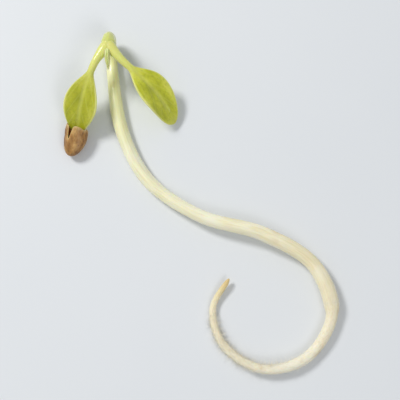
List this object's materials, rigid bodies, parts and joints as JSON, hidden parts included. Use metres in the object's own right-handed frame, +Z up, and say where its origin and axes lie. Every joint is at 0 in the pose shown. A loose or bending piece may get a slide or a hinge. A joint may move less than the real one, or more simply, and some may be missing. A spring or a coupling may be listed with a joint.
{
  "type": "alfalfa sprout",
  "caption": "Alfalfa seedling as picked: winding pale stem with a hooked top, curled root, green seed leaves, a folded first leaf and a clinging seed coat, lying on its side.",
  "frame": {"origin": "under the middle of the sprout's extent, on the surface it rests on", "axes": "+Z up from the surface, +Y along the sprout's longer side towards the leaves' end, X across"},
  "size_m": [0.017, 0.0212, 0.003],
  "materials": {
    "root_skin": "moist matte cream root skin, slightly yellower at its tip, with a felt of fine white root hairs",
    "stem_skin": "smooth waxy cream stem, slightly translucent, greener towards the leaves",
    "seed_leaf": "fleshy lime-green seed leaf with a paler rim and midrib and a soft wet sheen",
    "young_leaf": "folded pale green first leaf with a fine down",
    "seed_husk": "thin tan to brown seed husk, wrinkled, with a torn mouth"
  },
  "bodies": {
    "root": {"root": "root_skin", "stem": "stem_skin", "left_seed_leaf": "seed_leaf", "right_seed_leaf": "seed_leaf", "first_leaf_bud": "young_leaf", "seed_coat": "seed_husk"}
  },
  "joints": []
}
